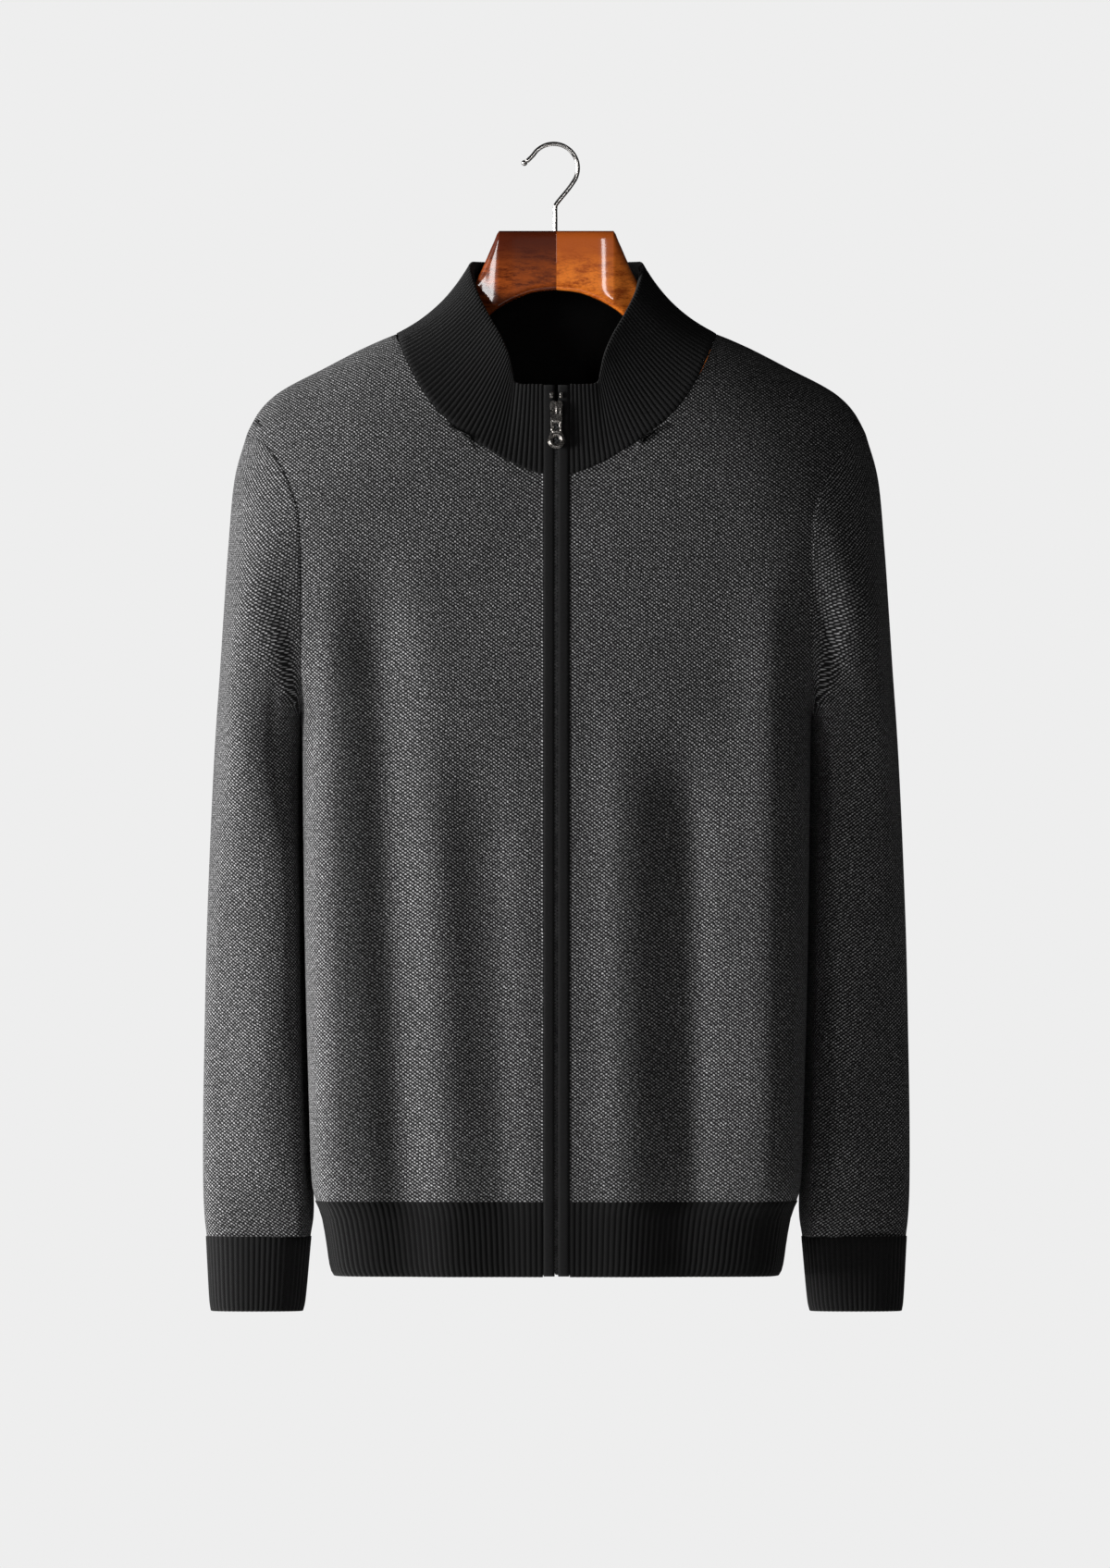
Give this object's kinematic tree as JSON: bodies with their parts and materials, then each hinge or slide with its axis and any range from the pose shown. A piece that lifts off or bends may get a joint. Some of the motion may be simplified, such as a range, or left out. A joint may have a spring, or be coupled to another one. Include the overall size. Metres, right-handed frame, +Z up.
{
  "type": "zip-up cardigan on hanger",
  "caption": "Long-sleeved knitted cardigan with ribbed stand collar, cuffs and hem and a front zip, hanging closed on a wooden hanger with a steel wire hook.",
  "frame": {"origin": "inside of the hook's top, the point that rests on a rail", "axes": "+Z up, -Y towards the garment's front, +X to the right of someone who looks at the front"},
  "size_m": [0.52, 0.1811, 0.8592],
  "materials": {
    "knit": "two-tone knit, light dots on black",
    "rib": "ribbed knit, matte black",
    "tape": "woven tape",
    "gunmetal": "dark nickel plate, satin",
    "wood": "glossy red-brown varnish",
    "steel": "bright wire"
  },
  "bodies": {
    "garment": {"back": "knit", "collar": "rib", "cuff_left": "rib", "cuff_right": "rib", "front_left": "knit", "front_right": "knit", "hanger_left": "wood", "hanger_right": "wood", "hem_back": "rib", "hem_front_left": "rib", "hem_front_right": "rib", "hook": "steel", "hook_tip": "steel", "placket_left": "rib", "placket_right": "rib", "sleeve_left": "knit", "sleeve_right": "knit", "slider": "gunmetal", "slider_bail": "gunmetal", "top_stop_left": "gunmetal", "top_stop_right": "gunmetal", "zip_chain": "gunmetal", "zip_tape_left": "tape", "zip_tape_right": "tape"},
    "pull": {"pull_tab": "gunmetal"}
  },
  "joints": [
    {"name": "pull_swing", "type": "hinge", "parent": "garment", "child": "pull", "pos_m": [0, -0.06817, -0.19385], "axis": [-1, 0, 0], "range_deg": [0, 130]}
  ]
}
